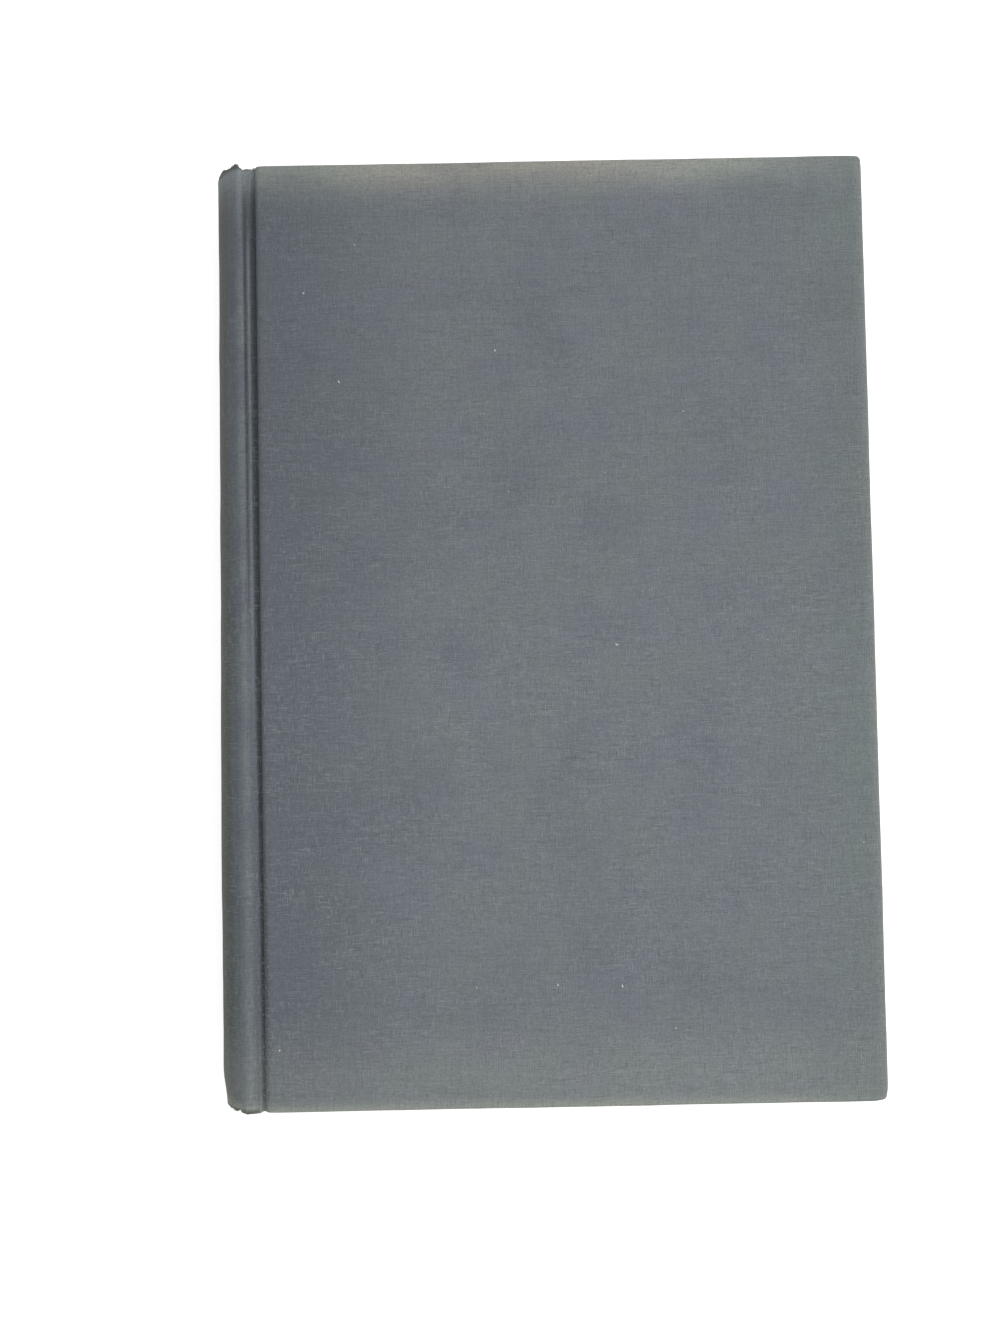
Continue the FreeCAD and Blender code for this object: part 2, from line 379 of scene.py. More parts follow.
class Nodes:
    """Lays out the shader nodes of one material; a call's value is a socket or a number."""

    def __init__(self, name: str) -> None:
        """Starts the material with one Principled shader.

        Args:
            name: The material's name.
        """
        self.material = bpy.data.materials.new(name)
        self.material.use_nodes = True
        self.tree = self.material.node_tree
        self.shader = self.tree.nodes["Principled BSDF"]
        self.place = self.tree.nodes.new("ShaderNodeTexCoord").outputs["Object"]
        apart = self.tree.nodes.new("ShaderNodeSeparateXYZ")
        self.feed(apart.inputs[0], self.place)
        self.x, self.y, self.z = (
            self.math("MULTIPLY", apart.outputs[k], 1 / MM) for k in range(3)
        )

    def feed(self, socket: NodeSocket, value: object) -> None:
        """Links a socket to the input, or sets the input to a plain value.

        Args:
            socket: The input.
            value: A socket or a plain value.
        """
        if isinstance(value, NodeSocket):
            self.tree.links.new(value, socket)
        else:
            socket.default_value = value

    def math(self, operation: str, *values: object) -> NodeSocket:
        """One Math node.

        Args:
            operation: The node's operation.
            values: Its inputs, as sockets or numbers.

        Returns:
            The socket of the result.
        """
        node = self.tree.nodes.new("ShaderNodeMath")
        node.operation = operation
        for socket, value in zip(node.inputs, values):
            self.feed(socket, value)
        return node.outputs[0]

    def times(self, first: object, *others: object) -> NodeSocket:
        """The product of two or more values.

        Args:
            first: A socket or a number.
            others: The rest of them.

        Returns:
            The socket of the result.
        """
        for value in others:
            first = self.math("MULTIPLY", first, value)
        return first

    def from_end(self, end: int) -> NodeSocket:
        """How far a place lies inside the covers' head (1) or tail (-1)."""
        return self.math("SUBTRACT" if end > 0 else "ADD", BOOK.cover_end, self.y)

    def ramp(
        self, value: object, start: float, end: float, low: float = 0.0, high: float = 1.0
    ) -> NodeSocket:
        """Low before start, high after end, and a smooth step between.

        Args:
            value: What is read.
            start: The value at which the step starts.
            end: The value at which it ends, which may be the smaller.
            low: The result at start.
            high: The result at end.

        Returns:
            The socket of the result.
        """
        node = self.tree.nodes.new("ShaderNodeMapRange")
        node.interpolation_type = "SMOOTHSTEP"
        for socket, part in zip(node.inputs, (value, start, end, low, high)):
            self.feed(socket, part)
        return node.outputs[0]

    def band(
        self, value: object, start: float, full: float, still: float, end: float
    ) -> NodeSocket:
        """One from full to still, falling smoothly to nought at start and at end."""
        return self.times(self.ramp(value, start, full), self.ramp(value, end, still))

    def power(self, value: object, start: float, end: float, by: float) -> NodeSocket:
        """A ramp raised to a power, which draws it in towards its end."""
        return self.math("POWER", self.ramp(value, start, end), by)

    def noise(self, x: float, y: float, z: float, detail: float = 2.0) -> NodeSocket:
        """Noise from 0 to 1, with x, y and z waves to the millimetre along each axis.

        Args:
            x: Waves to the millimetre along X.
            y: The same along Y.
            z: The same along Z.
            detail: How many finer layers are added.

        Returns:
            The socket of the result.
        """
        stretched = self.tree.nodes.new("ShaderNodeVectorMath")
        stretched.operation = "MULTIPLY"
        self.feed(stretched.inputs[0], self.place)
        stretched.inputs[1].default_value = (x / MM, y / MM, z / MM)
        node = self.tree.nodes.new("ShaderNodeTexNoise")
        self.feed(node.inputs["Vector"], stretched.outputs[0])
        node.inputs["Scale"].default_value = 1.0
        node.inputs["Detail"].default_value = detail
        return node.outputs["Fac"]

    def mix(self, share: object, low: object, high: object) -> NodeSocket:
        """The colour that share of the way from low to high.

        Args:
            share: From 0 to 1.
            low: The colour at 0.
            high: The colour at 1.

        Returns:
            The socket of the result.
        """
        node = self.tree.nodes.new("ShaderNodeMix")
        node.data_type = "RGBA"
        for k, part in ((0, share), (6, low), (7, high)):
            self.feed(node.inputs[k], part)
        return node.outputs[2]

    def shade(self, colour: object, factor: object) -> NodeSocket:
        """The colour multiplied by a grey factor.

        Args:
            colour: A socket or a colour.
            factor: A socket or a number.

        Returns:
            The socket of the result.
        """
        node = self.tree.nodes.new("ShaderNodeVectorMath")
        node.operation = "SCALE"
        self.feed(node.inputs[0], colour[:3] if isinstance(colour, tuple) else colour)
        self.feed(node.inputs["Scale"], factor)
        return node.outputs[0]

    def bump(self, height: object, depth: float, strength: float = 1.0) -> None:
        """Turns a height from 0 to 1, depth millimetres high, into relief.

        Args:
            height: The height's socket.
            depth: How many millimetres a height of one is.
            strength: How much of the relief shows.
        """
        node = self.tree.nodes.new("ShaderNodeBump")
        node.inputs["Strength"].default_value = strength
        node.inputs["Distance"].default_value = depth * MM
        self.feed(node.inputs["Height"], height)
        self.feed(self.shader.inputs["Normal"], node.outputs[0])

    def finish(self, colour: object, roughness: object, **constants: float) -> Material:
        """Gives the shader its colour, roughness and constants.

        Args:
            colour: A socket or a colour.
            roughness: A socket or a number.
            constants: Other inputs of the shader by name, with _ for a space, as plain numbers.

        Returns:
            The finished material.
        """
        self.feed(self.shader.inputs["Base Color"], colour)
        self.feed(self.shader.inputs["Roughness"], roughness)
        for name, value in constants.items():
            self.shader.inputs[name.replace("_", " ")].default_value = value
        return self.material


@dataclass(frozen=True)
class Bookcloth:
    """Plain woven bookcloth in a slate blue-grey, faded at the edges, with shade painted in the
    joint.
    """

    slate: tuple = srgb(113, 120, 123)
    blue: tuple = srgb(95, 102, 109)
    violet: tuple = srgb(113, 117, 127)
    dim_violet: tuple = srgb(97, 101, 112)
    worn_fold: tuple = srgb(78, 82, 70)
    green: tuple = srgb(111, 120, 118)
    shaded: tuple = srgb(80, 87, 96)
    round_: tuple = srgb(109, 117, 120)
    faded: tuple = srgb(160, 158, 149)
    edge: tuple = srgb(158, 163, 152)
    # Painted shade, olive-tinted, for the outer side of the spine's round.
    painted_shade_olive: tuple = srgb(74, 80, 68)
    # Dark thread dashes, and the painted shade in the joint and in the spine's crease.
    joint: tuple = srgb(70, 75, 79)
    # Pale dashes, dust specks and the spine's faded head, and the painted highlight on its ridge.
    pale_thread_and_highlight: tuple = srgb(150, 157, 160)
    pitch: float = 0.42
    relief: float = 0.07
    cover_grain: float = 0.35
    spine_grain: float = 0.25

    def threads(self, nodes: Nodes, along_x: object, along_y: object) -> tuple:
        """The weave's height, and the streaks of its uneven warp and weft added up.

        Height is the larger of two rows of rounded ridges, one row for the warp and one for the
        weft, each lifted where the other dips, so that they pass over and under in turn.

        Args:
            nodes: The material's nodes.
            along_x: The place across the warp, in millimetres.
            along_y: The place across the weft, in millimetres.

        Returns:
            The height and the streaks.
        """
        turn = 2 * math.pi / self.pitch
        wobble = nodes.times(nodes.noise(0.45, 0.45, 0.45), 4.0)
        cross = nodes.math("ADD", nodes.times(along_x, turn), wobble)
        down = nodes.math("ADD", nodes.times(along_y, turn), wobble)
        over = nodes.times(*(nodes.math("SINE", nodes.times(way, 0.5)) for way in (cross, down)))
        warp = nodes.math("ADD", nodes.math("SINE", cross), over)
        weft = nodes.math("SUBTRACT", nodes.math("SINE", down), over)
        height = nodes.times(nodes.math("MAXIMUM", warp, weft), 0.5)
        weft_streak = nodes.times(nodes.noise(0.12, 2.4, 0.12, 3.0), 1.1)
        return height, nodes.math("ADD", nodes.noise(2.4, 0.14, 2.4, 3.0), weft_streak)

    def ground(self, nodes: Nodes, weave: Weave) -> object:
        """Slate in violet and blue clouds, bluer towards the spine partly as painted shade.

        Args:
            nodes: The material's nodes.
            weave: Where the cloth is seen.

        Returns:
            The colour.
        """
        ramp, mix, x = nodes.ramp, nodes.mix, nodes.x
        # Bluer and darker towards the spine: partly the cloth's own tone, partly painted shade.
        to_middle = ramp(x, -74, -20)
        colour = mix(to_middle, self.blue, self.slate)
        if weave is Weave.SPINE:
            colour = mix(ramp(x, -72.6, -73.6), colour, self.round_)
        violet = mix(to_middle, self.dim_violet, self.violet)
        tint = nodes.noise(0.085, 0.085, 0.085, 3.0)
        colour = mix(ramp(tint, 0.38, 0.68, 0.0, 0.75), colour, violet)
        cloud = nodes.noise(0.045, 0.045, 0.045, 3.0)
        colour = mix(ramp(cloud, 0.45, 0.75, 0.0, 0.35), colour, self.blue)
        # Painted shade: the spine's round darkens as it turns away from the light, to olive at its
        # outer side.
        if weave is Weave.SPINE:
            colour = mix(ramp(x, -75.0, -76.8, 0.0, 0.66), colour, self.shaded)
            colour = mix(ramp(x, -77.0, -79.2, 0.0, 0.85), colour, self.painted_shade_olive)
        return colour

    def in_joint(self, nodes: Nodes, colour: object, weave: Weave) -> object:
        """Paints shade into the joint and the spine's crease, and a highlight on the ridge.

        The crease's painted shade is broad and dark beside the head cap. Towards the tail the
        joint's painted shade lies a little further out, with pale dust in it.

        Args:
            nodes: The material's nodes.
            colour: The colour so far.
            weave: Where the cloth is seen.

        Returns:
            The new colour.
        """
        ramp, mix, times, x = nodes.ramp, nodes.mix, nodes.times, nodes.x
        head, tail = nodes.from_end(1), nodes.from_end(-1)
        if weave is Weave.SPINE:
            # Painted shade in the spine's crease beside the groove, broad beside the head cap.
            crease = nodes.band(x, -73.65, -73.3, -73.05, -72.75)
            crease = times(crease, ramp(head, 130, 60, 0.0, 0.85))
            broad = nodes.band(x, -73.9, -73.4, -72.2, -71.8)
            broad = times(broad, ramp(head, 23, 13, 0.0, 0.7))
            colour = mix(nodes.math("MAXIMUM", crease, broad), colour, self.joint)
        # Painted shade down in the joint's groove.
        beside = nodes.math("SUBTRACT", x, ramp(tail, 130, 8, 0.0, 0.9))
        inside = nodes.math("ABSOLUTE", nodes.math("SUBTRACT", nodes.z, BOOK.middle_z))
        deep = ramp(inside, BOOK.middle_z - 0.1, BOOK.middle_z - 1.3)
        deep = nodes.math("MAXIMUM", deep, ramp(tail, 130, 30, 0.0, 0.75))
        shut = times(nodes.band(beside, -72.2, -71.4, -70.4, -69.4), deep)
        clear = times(ramp(head, 0, 9, 0.5, 0.95), ramp(tail, 4, 42, 0.85, 1.0))
        colour = mix(times(shut, clear), colour, self.joint)
        if weave is Weave.SPINE:
            # Painted highlight along the ridge between the crease and the joint.
            ridge = times(ramp(head, 165, 110, 0.0, 0.22), ramp(head, 14, 24))
            ridge = times(nodes.band(x, -72.75, -72.45, -72.15, -71.8), ridge)
            colour = mix(ridge, colour, self.pale_thread_and_highlight)
        dust = ramp(nodes.noise(1.9, 1.9, 1.9, 2.0), 0.57, 0.66, 0.0, 0.55)
        return mix(times(dust, ramp(tail, 75, 25), shut), colour, self.pale_thread_and_highlight)

    def at_edges(self, nodes: Nodes, colour: object, weave: Weave) -> object:
        """Fades the cloth at head, tail and fore-edge, and rubs the spine's folded ends.

        Args:
            nodes: The material's nodes.
            colour: The colour so far.
            weave: Where the cloth is seen.

        Returns:
            The new colour.
        """
        ramp, mix, times, x = nodes.ramp, nodes.mix, nodes.times, nodes.x
        head, tail = nodes.from_end(1), nodes.from_end(-1)
        pale = mix(ramp(x, -62, -30), self.edge, self.faded)
        pale = mix(ramp(x, 10, 50, 0.0, 0.9), pale, self.edge)
        if weave is Weave.SPINE:
            pale = self.pale_thread_and_highlight
        patchy = ramp(nodes.noise(0.03, 0.12, 0.03, 2.0), 0.3, 0.6, 0.65, 1.0)
        patchy = times(patchy, ramp(x, -66, -35, 0.68, 1.0), ramp(x, 70, 30, 0.55, 1.0))
        colour = mix(times(nodes.power(head, 15.0, -1.0, 1.8), patchy), colour, pale)
        near_tail = times(nodes.power(tail, 4.0, -0.5, 1.5), 0.6)
        tail_fade = nodes.math("ADD", ramp(tail, 26, 6, 0.0, 0.20), near_tail)
        colour = mix(tail_fade, colour, self.edge)
        colour = mix(ramp(x, 56, 80, 0.0, 0.55), colour, self.green)
        fore = nodes.math("SUBTRACT", BOOK.fore_x, x)
        colour = mix(times(nodes.power(fore, 4.0, -0.5, 1.5), 0.28), colour, self.edge)
        if weave is Weave.SPINE:
            rubbed = ramp(nodes.math("MINIMUM", head, tail), 1, 0, 0.0, 0.85)
            colour = mix(times(rubbed, ramp(x, -71, -73)), colour, self.worn_fold)
        return colour

    def make(self, name: str, weave: Weave) -> Material:
        """The bookcloth of a cover or of the spine, with uneven threads, flecks and dashes.

        Args:
            name: The material's name.
            weave: Whether it covers a board or the spine.

        Returns:
            The material.
        """
        nodes = Nodes(name)
        ramp, mix, times, noise = nodes.ramp, nodes.mix, nodes.times, nodes.noise
        on_spine = weave is Weave.SPINE
        around = nodes.math("SUBTRACT", nodes.x, nodes.z) if on_spine else nodes.x
        height, streak = self.threads(nodes, around, nodes.y)
        colour = self.in_joint(nodes, self.ground(nodes, weave), weave)
        colour = self.at_edges(nodes, colour, weave)
        upper = times(ramp(nodes.y, -30, 55), ramp(nodes.x, 40, -60, 0.06, 0.085))
        light = nodes.math("SUBTRACT", ramp(streak, 0.75, 1.35, 0.945, 1.06), upper)
        even = self.spine_grain if on_spine else self.cover_grain
        grain = ramp(height, -0.3, 0.9, 1 - 0.14 * even, 1 + 0.09 * even)
        fleck = ramp(noise(1.9, 1.9, 1.9, 3.0), 0.3, 0.7, 0.89, 1.10)
        colour = nodes.shade(colour, times(light, grain, fleck))
        some = ramp(noise(0.07, 0.07, 0.07, 1.0), 0.35, 0.65, 0.55, 1.0)
        pale = nodes.math("MAXIMUM", noise(0.40, 4.2, 0.40, 1.0), noise(4.2, 0.40, 4.2, 1.0))
        lit = ramp(nodes.from_end(1), 0, 150, 0.5, 1.0)
        pale = times(ramp(pale, 0.58, 0.71, 0.0, 0.38), some, lit)
        colour = mix(pale, colour, self.pale_thread_and_highlight)
        dark = nodes.math("MINIMUM", noise(0.33, 3.1, 0.33, 1.0), noise(3.1, 0.33, 3.1, 1.0))
        colour = mix(times(ramp(dark, 0.42, 0.30, 0.0, 0.30), some), colour, self.joint)
        nodes.bump(nodes.math("ADD", height, times(streak, 0.5)), self.relief, 0.8)
        rough = ramp(height, -0.5, 1.0, 0.93, 0.80)
        return nodes.finish(colour, rough, Sheen_Weight=0.12, Sheen_Roughness=0.6, IOR=1.4)


@dataclass(frozen=True)
class Paper:
    """Cream paper: the endpapers' plain sheet, or the stack of page edges."""

    sheet: tuple = srgb(230, 223, 207)
    page: tuple = srgb(226, 216, 192)
    toned: tuple = srgb(203, 186, 150)
    foxed: tuple = srgb(186, 152, 104)

    def endpaper(self) -> Material:
        """Smooth laid sheet with a faint fibre, toned at its edges and in the gutter.

        Returns:
            The material.
        """
        nodes = Nodes("cream_endpaper")
        fibre = nodes.noise(0.9, 3.2, 0.9, 4.0)
        cloud = nodes.noise(0.03, 0.03, 0.03, 3.0)
        colour = nodes.mix(nodes.ramp(cloud, 0.4, 0.75, 0.0, 0.22), self.sheet, self.toned)
        edge = nodes.ramp(nodes.math("ABSOLUTE", nodes.y), 104, 116, 0.0, 0.30)
        edge = nodes.math("MAXIMUM", edge, nodes.ramp(nodes.x, 68, 80, 0.0, 0.30))
        edge = nodes.math("MAXIMUM", edge, nodes.ramp(nodes.x, -62, -71, 0.0, 0.45))
        colour = nodes.mix(edge, colour, self.toned)
        spot = nodes.ramp(nodes.noise(0.22, 0.22, 0.22, 1.0), 0.74, 0.80, 0.0, 0.30)
        colour = nodes.mix(spot, colour, self.foxed)
        colour = nodes.shade(colour, nodes.ramp(fibre, 0.25, 0.75, 0.975, 1.02))
        nodes.bump(fibre, 0.03, 0.5)
        return nodes.finish(colour, 0.82, IOR=1.45)

    def page_edges(self) -> Material:
        """Cut edges of many leaves: fine lines along the stack, toned towards the covers.

        Returns:
            The material.
        """
        nodes = Nodes("page_edges")
        line = nodes.noise(0.05, 0.05, 9.0, 2.0)
        group = nodes.noise(0.015, 0.015, 1.1, 2.0)
        colour = nodes.mix(nodes.ramp(line, 0.3, 0.7), self.toned, self.page)
        colour = nodes.mix(nodes.ramp(group, 0.40, 0.70, 0.0, 0.45), colour, self.toned)
        near = nodes.math("ABSOLUTE", nodes.math("SUBTRACT", nodes.z, BOOK.middle_z))
        colour = nodes.mix(nodes.ramp(near, 8.0, 11.0, 0.0, 0.40), colour, self.toned)
        dust = nodes.ramp(nodes.y, 113.6, 114.4, 0.0, 0.22)
        colour = nodes.mix(dust, colour, srgb(168, 156, 134))
        spot = nodes.ramp(nodes.noise(0.25, 0.25, 0.6, 1.0), 0.72, 0.80, 0.0, 0.35)
        colour = nodes.mix(spot, colour, self.foxed)
        nodes.bump(line, 0.05, 0.8)
        return nodes.finish(colour, 0.88, IOR=1.45)


@dataclass(frozen=True)
class Linings:
    """The finishes under the cloth: binder's board, gauze, spine paper, card and band thread."""

    def mottled(
        self, name: str, grain: tuple, share: tuple, dark: tuple, light: tuple
    ) -> tuple[Nodes, NodeSocket, NodeSocket]:
        """Starts a finish whose colour goes from dark to light with a grain.

        Args:
            name: The material's name.
            grain: The grain's waves to the millimetre along X, Y and Z, and its detail.
            share: The grain's heights at which the colour is dark and light.
            dark: The darker colour, 0 to 255.
            light: The lighter colour, 0 to 255.

        Returns:
            The material's nodes, the grain and the colour.
        """
        nodes = Nodes(name)
        height = nodes.noise(*grain)
        return nodes, height, nodes.mix(nodes.ramp(height, *share), srgb(*dark), srgb(*light))

    def board(self) -> Material:
        """Grey-brown pulp board with specks and soft layers.

        Returns:
            The material.
        """
        nodes, speck, colour = self.mottled(
            "pulp_board", (3.0, 3.0, 3.0, 3.0), (0.35, 0.7), (150, 142, 128), (176, 166, 148)
        )
        layer = nodes.noise(0.2, 0.2, 4.0, 2.0)
        colour = nodes.shade(colour, nodes.ramp(layer, 0.3, 0.7, 0.9, 1.05))
        nodes.bump(speck, 0.08)
        return nodes.finish(colour, 0.92, IOR=1.4)

    def gauze(self) -> Material:
        """Open stiff gauze: two rows of threads a millimetre apart with glue between them.

        Returns:
            The material.
        """
        nodes = Nodes("open_gauze")
        lines = [
            nodes.ramp(nodes.math("SINE", nodes.times(along, 2 * math.pi)), 0.2, 0.9)
            for along in (nodes.math("SUBTRACT", nodes.x, nodes.z), nodes.y)
        ]
        mesh = nodes.math("MAXIMUM", *lines)
        fuzz = nodes.noise(4.0, 4.0, 4.0, 2.0)
        colour = nodes.mix(mesh, srgb(196, 178, 140), srgb(224, 218, 202))
        colour = nodes.shade(colour, nodes.ramp(fuzz, 0.3, 0.7, 0.93, 1.04))
        nodes.bump(mesh, 0.15)
        return nodes.finish(colour, 0.9, IOR=1.4)

    def spine_paper(self) -> Material:
        """Brown wrapping paper with long fibres and faint ribs.

        Returns:
            The material.
        """
        nodes, _, colour = self.mottled(
            "brown_spine_paper", (1.5, 0.2, 1.5, 4.0), (0.3, 0.7), (158, 128, 92), (184, 152, 112)
        )
        rib = nodes.math("SINE", nodes.times(nodes.y, 2 * math.pi / 0.9))
        nodes.bump(rib, 0.04)
        return nodes.finish(nodes.shade(colour, nodes.ramp(rib, -1, 1, 0.96, 1.02)), 0.8, IOR=1.45)

    def card(self) -> Material:
        """Buff card with a felt grain.

        Returns:
            The material.
        """
        nodes, grain, colour = self.mottled(
            "buff_card", (2.2, 0.8, 2.2, 4.0), (0.3, 0.7), (184, 168, 138), (202, 188, 160)
        )
        nodes.bump(grain, 0.05)
        return nodes.finish(colour, 0.88, IOR=1.4)

    def band(self) -> Material:
        """Band thread in two colours that take turns round the bead.

        Returns:
            The material.
        """
        nodes = Nodes("band_thread")
        rise = nodes.math("SUBTRACT", nodes.z, BOOK.middle_z)
        run = nodes.math("SUBTRACT", BOOK.round_x, nodes.x)
        turn = nodes.times(nodes.math("ARCTAN2", rise, run), BOOK.round_radius - 3)
        wave = nodes.math("SINE", nodes.times(turn, 2 * math.pi / 1.6))
        fibre = nodes.noise(6.0, 1.0, 6.0, 2.0)
        colour = nodes.mix(nodes.ramp(wave, -0.15, 0.15), srgb(78, 90, 108), srgb(222, 214, 192))
        colour = nodes.shade(colour, nodes.ramp(fibre, 0.3, 0.7, 0.9, 1.06))
        nodes.bump(fibre, 0.04)
        return nodes.finish(colour, 0.6, Sheen_Weight=0.2, IOR=1.5)


@dataclass(frozen=True)
class Lint:
    """White fluff caught on the cloth."""

    white: tuple = srgb(205, 207, 204)

    def make(self) -> Material:
        """Pale fibre with a soft rim.

        Returns:
            The material.
        """
        nodes = Nodes("pale_lint")
        tone = nodes.noise(3.0, 3.0, 3.0, 2.0)
        colour = nodes.shade(self.white, nodes.ramp(tone, 0.3, 0.7, 0.85, 1.0))
        return nodes.finish(colour, 0.9, Sheen_Weight=0.3, IOR=1.45)


@dataclass
class CoverCloth:
    """The cloth over one board: face, rounded edges, three turn-ins and its foot in the joint."""

    side: Side
    corner: float = 1.2
    rim: float = 0.8
    spine_rim: float = 1.5
    inner_rim: float = 0.35
    knock: float = 0.55
    knock_reach: float = 2.2
    under_foot: float = 0.05
    turn_in_rows: tuple[float, ...] = (0.8, 1.2, 2.2, 3.2, 5.0, 8.0, 12.0, 14.6, 15.0)
    fray: float = 0.07

    def edge_profile(self) -> tuple[np.ndarray, np.ndarray, np.ndarray, np.ndarray]:
        """The section square to an edge, from the face over the rim and wall to the turn-in.

        Returns:
            The inset from the edge, the height, and the outward and upward parts of the normal.
            The outer rim is a quarter circle, the wall is straight, the inner rim is another
            quarter circle, and the turn-in is flat.
        """
        book = BOOK
        over = np.radians(np.linspace(0, 90, 7))
        wall = np.linspace(0, 1, 6)[1:-1]
        under = np.radians(np.linspace(0, 90, 4))
        wall_top, wall_foot = book.cover_out - self.rim, book.turn_in_face + self.inner_rim
        flat = np.array(self.turn_in_rows)
        inset = [[self.corner], self.rim * (1 - np.sin(over)), wall * 0]
        inset += [self.inner_rim * (1 - np.cos(under)), flat]
        height = [[book.cover_out], wall_top + self.rim * np.cos(over)]
        height += [wall_top + (wall_foot - wall_top) * wall]
        height += [wall_foot - self.inner_rim * np.sin(under), flat * 0 + book.turn_in_face]
        out = [[0.0], np.sin(over), wall * 0 + 1, np.cos(under), flat * 0]
        rise = [[1.0], np.cos(over), wall * 0, -np.sin(under), flat * 0 - 1]
        return tuple(np.concatenate(part) for part in (inset, height, out, rise))

    def spine_drop(self, x: np.ndarray) -> Surfaces:
        """How far the face has turned down over the spine-side edge, and the sine of its slope."""
        lean = np.clip((self.spine_rim - (x - BOOK.cover_x)) / self.spine_rim, 0, 1)
        return self.spine_rim * (1 - np.sqrt(1 - lean**2)), lean

    def columns(self) -> np.ndarray:
        """Places along X for the face, closer together over the spine-side edge.

        Returns:
            The places, from the joint to the fore-edge's rim.
        """
        turn = np.radians(np.linspace(90, 0, 7))
        near = BOOK.cover_x + self.spine_rim * (1 - np.sin(turn))
        return np.concatenate([near, np.linspace(-68.2, BOOK.fore_x - self.corner, 90)])

    def rows(self) -> np.ndarray:
        """Places along Y for the face."""
        end = BOOK.cover_end - self.corner
        return np.linspace(-end, end, 130)

    def face(self) -> Surfaces:
        """The flat of the cover and its lining side.

        Returns:
            The grids of the outer side and of the lining side.
        """
        x, y = np.meshgrid(self.columns(), self.rows())
        drop, lean = self.spine_drop(x)
        outer = np.stack([x, y, BOOK.cover_out - drop], -1)
        normal = np.stack([-lean, 0 * x, np.sqrt(1 - lean**2)], -1)
        return outer, outer - BOOK.cloth * normal

    def border(self) -> Surfaces:
        """The edge section carried along head, fore-edge and tail, mitred inside the corners.

        Returns:
            The grids of the outer side and of the lining side.
        """
        inset, height, out, rise = (part[:, None] for part in self.edge_profile())
        x, y = self.columns(), self.rows()
        quarter = np.radians(np.linspace(90, 0, 9)[1:-1])
        counts = [len(x), len(quarter), len(y), len(quarter), len(x)]
        path_x = np.concatenate([x, np.full(sum(counts[1:4]), x[-1]), x[::-1]])
        path_y = np.repeat([y[-1], y[-1], 0, y[0], y[0]], counts)
        path_y[counts[0] + counts[1] :][: len(y)] = y[::-1]
        way = np.repeat([np.pi / 2, 0, 0, 0, -np.pi / 2], counts)
        way[counts[0] :][: len(quarter)] = quarter
        way[-counts[4] - counts[3] :][: len(quarter)] = -quarter[::-1]
        out_x, out_y = np.cos(way), np.sin(way)
        reach = self.corner - inset
        most_x, most_y = BOOK.fore_x - inset, BOOK.cover_end - inset
        at_x = np.minimum(path_x + out_x * reach, np.where(reach < 0, most_x, np.inf))
        at_y = path_y + out_y * reach
        at_y = np.where(reach < 0, np.clip(at_y, -most_y, most_y), at_y)
        drop, lean = self.spine_drop(path_x)
        foot = BOOK.turn_in_face + self.inner_rim
        share = np.clip((height - foot) / (BOOK.cover_out - self.rim - foot), 0, 1)
        at_z = height - drop * share
        outer = np.stack(np.broadcast_arrays(at_x, at_y, at_z), -1)
        normal = np.stack(np.broadcast_arrays(out * out_x, out * out_y, rise), -1)
        lining = outer - BOOK.cloth * normal
        lining[..., 0] += np.where(share > 0, lean * BOOK.cloth, 0) * np.ones_like(at_x)
        return outer, lining

    def joint_side(self) -> Surfaces:
        """The cloth down the spine-side edge of the board, and its foot in the joint.

        Returns:
            The grids of the outer side and of the lining side.
        """
        book = BOOK
        inset, height = self.edge_profile()[:2]
        top = height > book.cover_out - self.rim - HAIR
        over_y, over_z = book.cover_end - inset[top], height[top]
        y = self.rows()
        y = np.concatenate([-over_y[:0:-1], y, over_y[1:]])
        level = np.concatenate([over_z[:0:-1], self.rows() * 0 + book.cover_out, over_z[1:]])
        level = level[:, None] - self.spine_rim
        foot = book.turn_in_face + self.inner_rim
        share = np.linspace(0, 1, 6)
        wall_z = foot + (level - foot) * share
        wall_x = np.full_like(wall_z, book.cover_x)
        foot_x = np.array([book.hinge_x, (book.hinge_x + book.cover_x) / 2])
        foot_x = np.broadcast_to(foot_x, (len(y), 2))
        x = np.concatenate([foot_x, wall_x], 1)
        z = np.concatenate([np.full_like(foot_x, book.groove_z), wall_z], 1)
        z[:, 2] = book.groove_z
        at_y = np.broadcast_to(y[:, None], x.shape)
        outer = np.stack([x, at_y, z], -1)
        lining = outer.copy()
        lining[:, :3, 2] -= book.cloth + self.under_foot
        lining[:, 2:, 0] += book.cloth
        ends = np.abs(at_y) > book.cover_end - HAIR
        lining[..., 1] -= np.where(ends, np.sign(at_y) * book.cloth, 0)
        return outer, lining

    def worn(self, points: np.ndarray) -> np.ndarray:
        """Softens the outer corners and lets the edges wander by a few hundredths.

        Near a corner, every point moves towards the middle by the knock times a bell of its
        distance from the corner.

        Args:
            points: The cloth's points, in millimetres.

        Returns:
            The moved points.
        """
        worn = points.copy()
        fore = points[:, 0] - BOOK.fore_x
        for end, share in ((1, 0.45), (-1, 1.0)):
            away = np.hypot(fore, points[:, 1] - end * BOOK.cover_end)
            pull = self.knock * share * bump_at(away, 0, self.knock_reach)
            worn[:, 0] -= 0.7 * pull
            worn[:, 1] -= 0.7 * end * pull
            worn[:, 2] -= 0.35 * pull * smooth_step(points[:, 2], 27.2, 29.0)
        edge = smooth_step(np.abs(points[:, 1]), 116.0, 117.4)
        worn[:, 1] += self.fray * edge * wander(points[:, 0], 11, 60.0) * np.sign(points[:, 1])
        side = smooth_step(points[:, 0], 80.6, 82.0)
        worn[:, 0] += self.fray * side * wander(points[:, 1], 12, 70.0)
        return worn

    def build(self, material: Material) -> Object:
        """Makes the cover's cloth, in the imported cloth's place.

        Args:
            material: The finish.

        Returns:
            The new piece.
        """
        points, triangles = thickened(self.face(), self.border(), self.joint_side())
        shape = on_side(self.side, (self.worn(points), triangles))
        name, cover = f"{self.side.value}_cover_cloth", f"{self.side.value}_cover"
        return piece(name, shape, material, cover, (f"{self.side.value}_cloth",))


